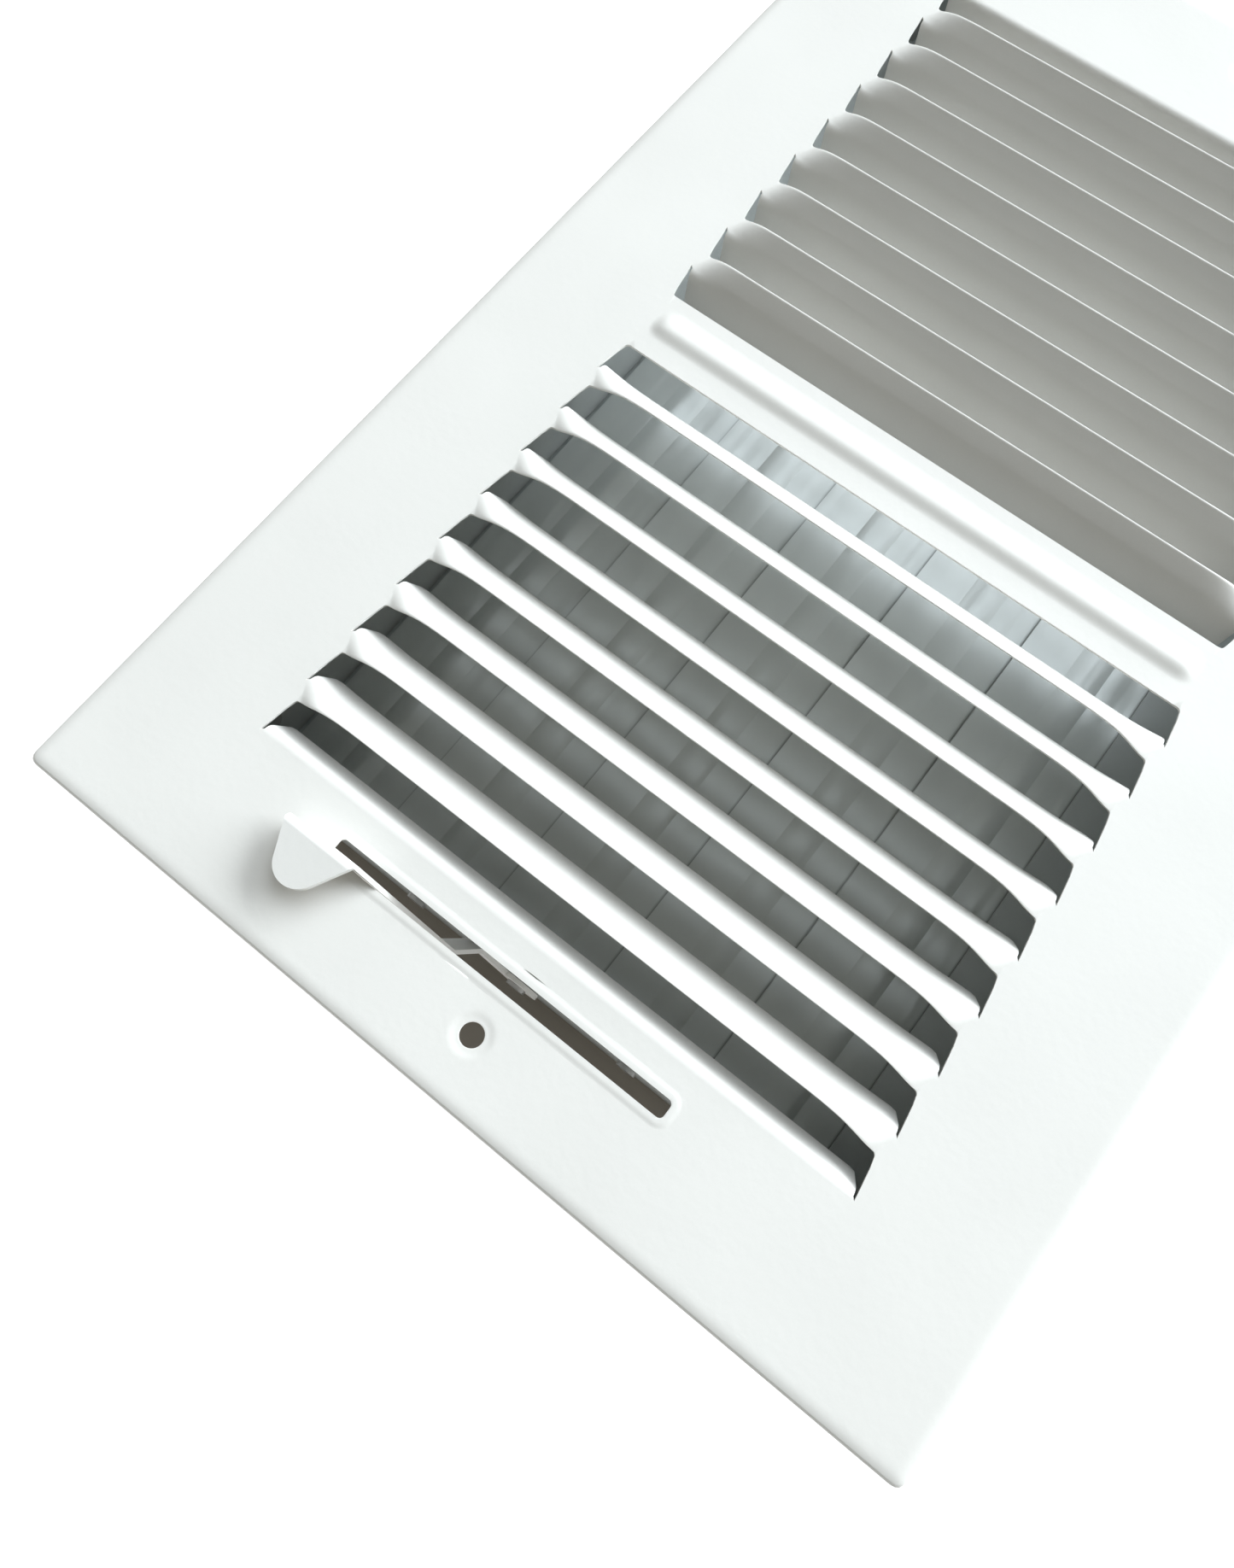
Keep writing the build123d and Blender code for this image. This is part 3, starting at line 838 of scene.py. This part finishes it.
def add_camera():
    """Camera close over the lever end, tipped towards the far end and rolled to the left."""
    back = Vector(CAMERA_BACK).normalized()
    right = Vector(CAMERA_UP).cross(back).normalized()
    turn = Matrix((right, back.cross(right), back)).transposed().to_4x4()
    camera_data = bpy.data.cameras.new("camera")
    camera_data.sensor_width = CAMERA_SENSOR
    camera_data.lens = CAMERA_LENS
    camera_data.clip_start = CAMERA_NEAR
    camera = bpy.data.objects.new("camera", camera_data)
    camera.matrix_world = Matrix.Translation(CAMERA_PLACE) @ turn
    bpy.context.collection.objects.link(camera)
    bpy.context.scene.camera = camera


# ------------------------------------------------------------------ scene

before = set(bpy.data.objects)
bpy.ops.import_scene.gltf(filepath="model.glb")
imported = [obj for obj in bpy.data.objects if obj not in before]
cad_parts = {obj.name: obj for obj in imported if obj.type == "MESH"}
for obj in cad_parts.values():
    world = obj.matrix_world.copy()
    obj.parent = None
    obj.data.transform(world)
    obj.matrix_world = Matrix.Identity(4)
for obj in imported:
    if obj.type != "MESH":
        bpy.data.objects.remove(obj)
cad_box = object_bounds()
_, plate_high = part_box("face_plate")
face_half = (plate_high.x / MM, plate_high.y / MM)

white = enamel("face_enamel", (0.885, 0.866, 0.832), rough=0.38)
inner = enamel("frame_enamel", (0.52, 0.55, 0.55), rough=0.36, peel=0.5, mottling=0.035)
blade_white = blade_finish("blade_enamel", (0.64, 0.67, 0.66))
lever_white = enamel("lever_enamel", (0.89, 0.875, 0.845), rough=0.4)
zinc = zinc_steel("zinc_plate", (0.52, 0.52, 0.51), rough=0.36)

plate = solid_sheet("pressed_face", face_plate_mesh(), SHEET, EDGE_SOFTNESS)
dress(plate, white)
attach(plate, "frame")
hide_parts("face_plate")

for node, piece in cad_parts.items():
    if node == "face_plate":
        continue
    if any(part in node for part in ZINC_PLATED):
        dress(piece, zinc)
    elif node.startswith("blade"):
        dress(piece, blade_white)
    elif node == "lever_arm":
        dress(piece, lever_white)
    else:
        dress(piece, inner)

add_floor()
add_room()
add_window()
add_camera()
bpy.context.scene.view_settings.view_transform = "Standard"
